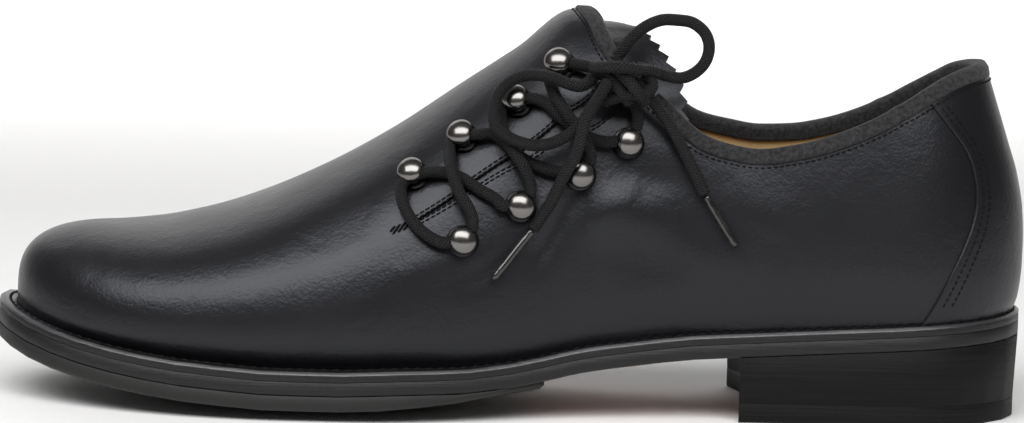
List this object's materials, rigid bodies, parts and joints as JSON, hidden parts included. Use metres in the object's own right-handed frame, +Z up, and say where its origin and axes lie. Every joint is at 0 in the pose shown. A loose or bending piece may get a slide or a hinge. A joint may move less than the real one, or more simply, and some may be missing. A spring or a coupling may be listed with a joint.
{
  "type": "haferl shoe",
  "caption": "Black welted leather folk shoe, with side lacing over ball studs, a pinked tongue, a suede collar binding and a low heel.",
  "frame": {"origin": "middle of the shoe's footprint box, on the floor", "axes": "+X to the toe, +Y to the outer side of this left shoe, +Z up"},
  "size_m": [0.2972, 0.105, 0.1161],
  "materials": {
    "upper_leather": "polished smooth black leather",
    "sole_leather": "satin black edge dressing",
    "sole_rubber": "matt black rubber",
    "lining_leather": "tan lining leather",
    "binding_suede": "charcoal suede",
    "stud_nickel": "polished nickel plating",
    "lace_cord": "waxed round cord",
    "aglet_plastic": "dark clear plastic sleeve"
  },
  "bodies": {
    "root": {"outsole": "sole_leather", "welt": "sole_leather", "heel_block": "sole_leather", "half_sole": "sole_rubber", "heel_top_piece": "sole_rubber", "insole": "lining_leather", "upper": "upper_leather", "tongue": "upper_leather", "collar_binding": "binding_suede", "stud_upper_1": "stud_nickel", "stud_upper_2": "stud_nickel", "stud_upper_3": "stud_nickel", "stud_upper_4": "stud_nickel", "stud_lower_1": "stud_nickel", "stud_lower_2": "stud_nickel", "stud_lower_3": "stud_nickel", "stud_lower_4": "stud_nickel", "lace_crossings": "lace_cord", "lace_knot": "lace_cord", "lace_loop_front": "lace_cord", "lace_loop_rear": "lace_cord", "lace_end_front": "lace_cord", "lace_end_rear": "lace_cord", "aglet_front": "aglet_plastic", "aglet_rear": "aglet_plastic"}
  },
  "joints": []
}
